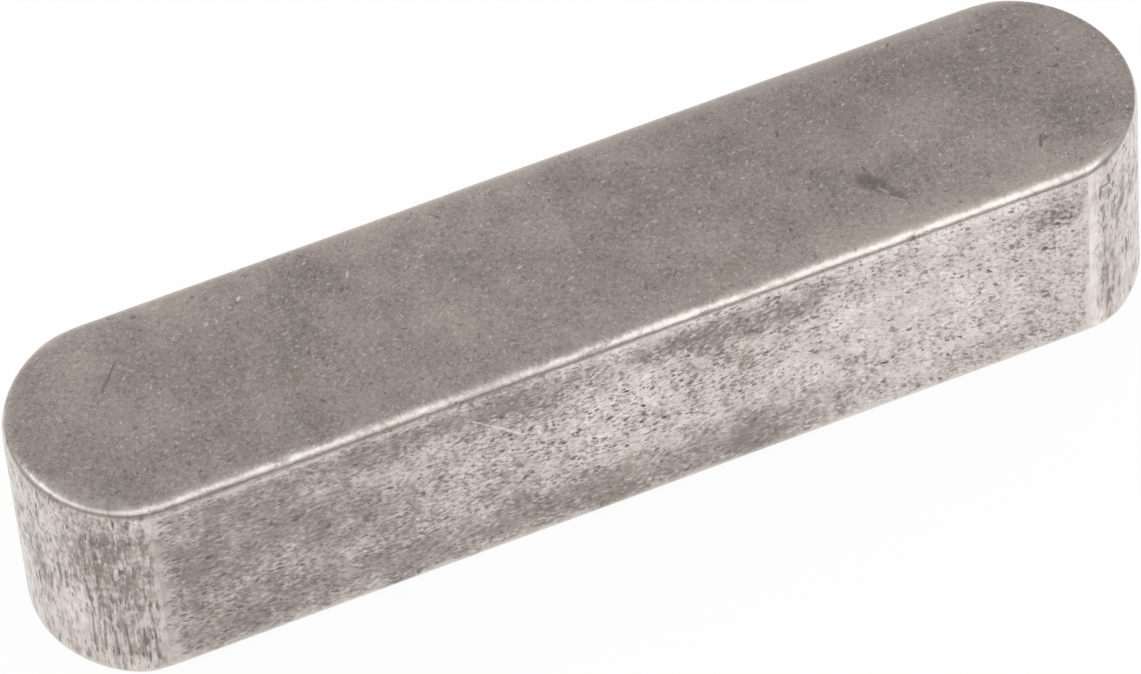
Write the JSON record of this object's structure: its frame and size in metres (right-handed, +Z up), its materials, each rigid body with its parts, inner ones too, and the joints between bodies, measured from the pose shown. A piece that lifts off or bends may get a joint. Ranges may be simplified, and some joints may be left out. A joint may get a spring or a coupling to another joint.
{
  "type": "parallel key",
  "caption": "Square-section steel bar with both ends rounded, set in a shaft's keyway to turn a hub with the shaft.",
  "frame": {"origin": "centre of the underside", "axes": "+X along the key, +Y across its width, +Z up out of the keyway"},
  "size_m": [0.028, 0.006, 0.006],
  "materials": {
    "steel": "bright drawn steel, tumbled matt, with pitted sides and burnished edges"
  },
  "bodies": {
    "root": {"parallel_key": "steel"}
  },
  "joints": []
}
